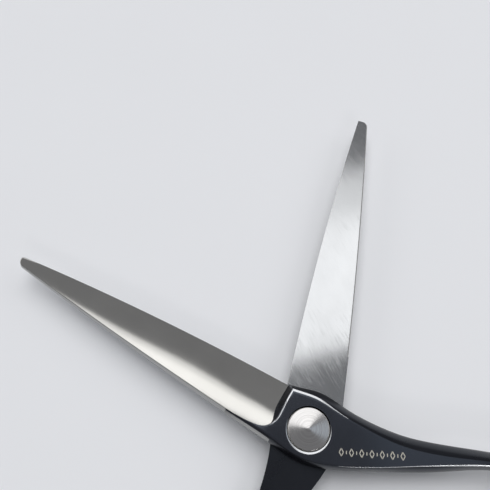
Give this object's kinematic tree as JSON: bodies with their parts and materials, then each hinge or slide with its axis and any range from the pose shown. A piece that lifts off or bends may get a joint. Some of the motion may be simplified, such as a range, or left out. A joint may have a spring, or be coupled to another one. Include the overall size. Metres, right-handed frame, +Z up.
{
  "type": "hairdressing shears",
  "caption": "Hairdressing shears with plain convex blades, black-coated offset handles, round finger rings, a flat pivot screw with a tension dial, a curved finger rest and a soft bumper.",
  "frame": {"origin": "on the pivot's axis, in the plane of the tension dial's under side, which the shears lie on", "axes": "+Z up along the pivot's axis towards the screw's head; +X along the finger half from its blade towards its ring"},
  "size_m": [0.1482, 0.1333, 0.0079],
  "materials": {
    "blade_steel": "ground and polished",
    "black_coat": "gloss",
    "turned_steel": "turned",
    "bright_steel": "polished",
    "bronze": "plain",
    "nylon": "matte",
    "soft_insert": "matte",
    "bumper_rubber": "matte"
  },
  "bodies": {
    "finger_half": {"finger_blade": "blade_steel", "finger_handle": "black_coat", "finger_ring_insert": "soft_insert", "bumper": "bumper_rubber", "pivot_bush": "bronze", "bearing_race": "bright_steel", "finger_rest": "black_coat", "finger_rest_washer": "nylon"},
    "thumb_half": {"thumb_blade": "blade_steel", "thumb_handle": "black_coat", "thumb_ring_insert": "soft_insert", "pivot_screw": "turned_steel", "thrust_washer": "nylon", "tension_spring": "bright_steel", "click_plate": "bright_steel", "dial_stop_screw": "turned_steel"},
    "ball_cage": {"bearing_cage": "nylon", "bearing_balls": "bright_steel"},
    "dial": {"tension_dial": "turned_steel", "click_balls": "bright_steel"}
  },
  "joints": [
    {"name": "blade_pivot", "type": "hinge", "parent": "finger_half", "child": "thumb_half", "pos_m": [0, 0, 0.00463], "axis": [0, 0, 1], "range_deg": [-35, 72.5]},
    {"name": "cage_turn", "type": "hinge", "parent": "finger_half", "child": "ball_cage", "pos_m": [0, 0, 0.00645], "axis": [0, 0, 1], "range_deg": [-17.5, 36.25]},
    {"name": "dial_turn", "type": "hinge", "parent": "thumb_half", "child": "dial", "pos_m": [0, 0, 0.001], "axis": [0, 0, 1], "range_deg": [-90, 90]}
  ],
  "couplings": [
    {"joint": "cage_turn", "follows": "blade_pivot", "ratio": 0.5}
  ]
}
